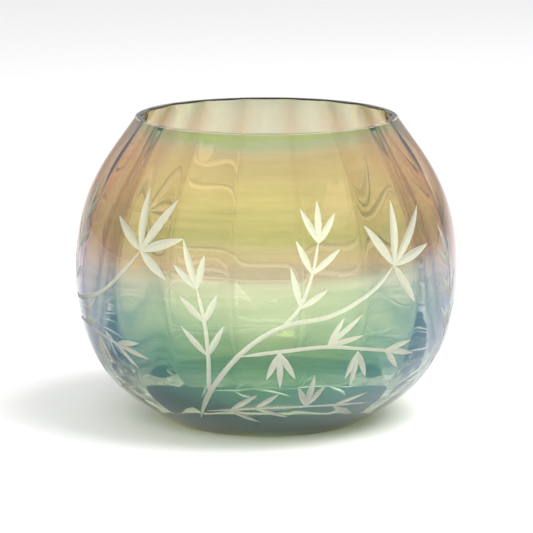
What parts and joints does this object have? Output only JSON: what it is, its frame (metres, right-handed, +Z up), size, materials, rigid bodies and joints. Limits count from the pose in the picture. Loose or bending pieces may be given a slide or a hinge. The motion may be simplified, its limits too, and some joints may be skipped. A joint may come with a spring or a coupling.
{
  "type": "art glass rose bowl",
  "caption": "Squat round bowl in blown lustred glass: in-curving shoulder, wide ground mouth, optic ribs inside, leafy cut sprays outside, flat ground foot.",
  "frame": {"origin": "centre of the flat foot, on the table", "axes": "+Z up along the bowl's axis of turning, out of the mouth; -Y is the front, which a rib crest and the main cut spray face"},
  "size_m": [0.178, 0.178, 0.142],
  "materials": {
    "lustred_glass": "polished pale olive-green glass under a gold, lilac, sage and teal metallic lustre"
  },
  "bodies": {
    "root": {"glass_bowl": "lustred_glass"}
  },
  "joints": []
}
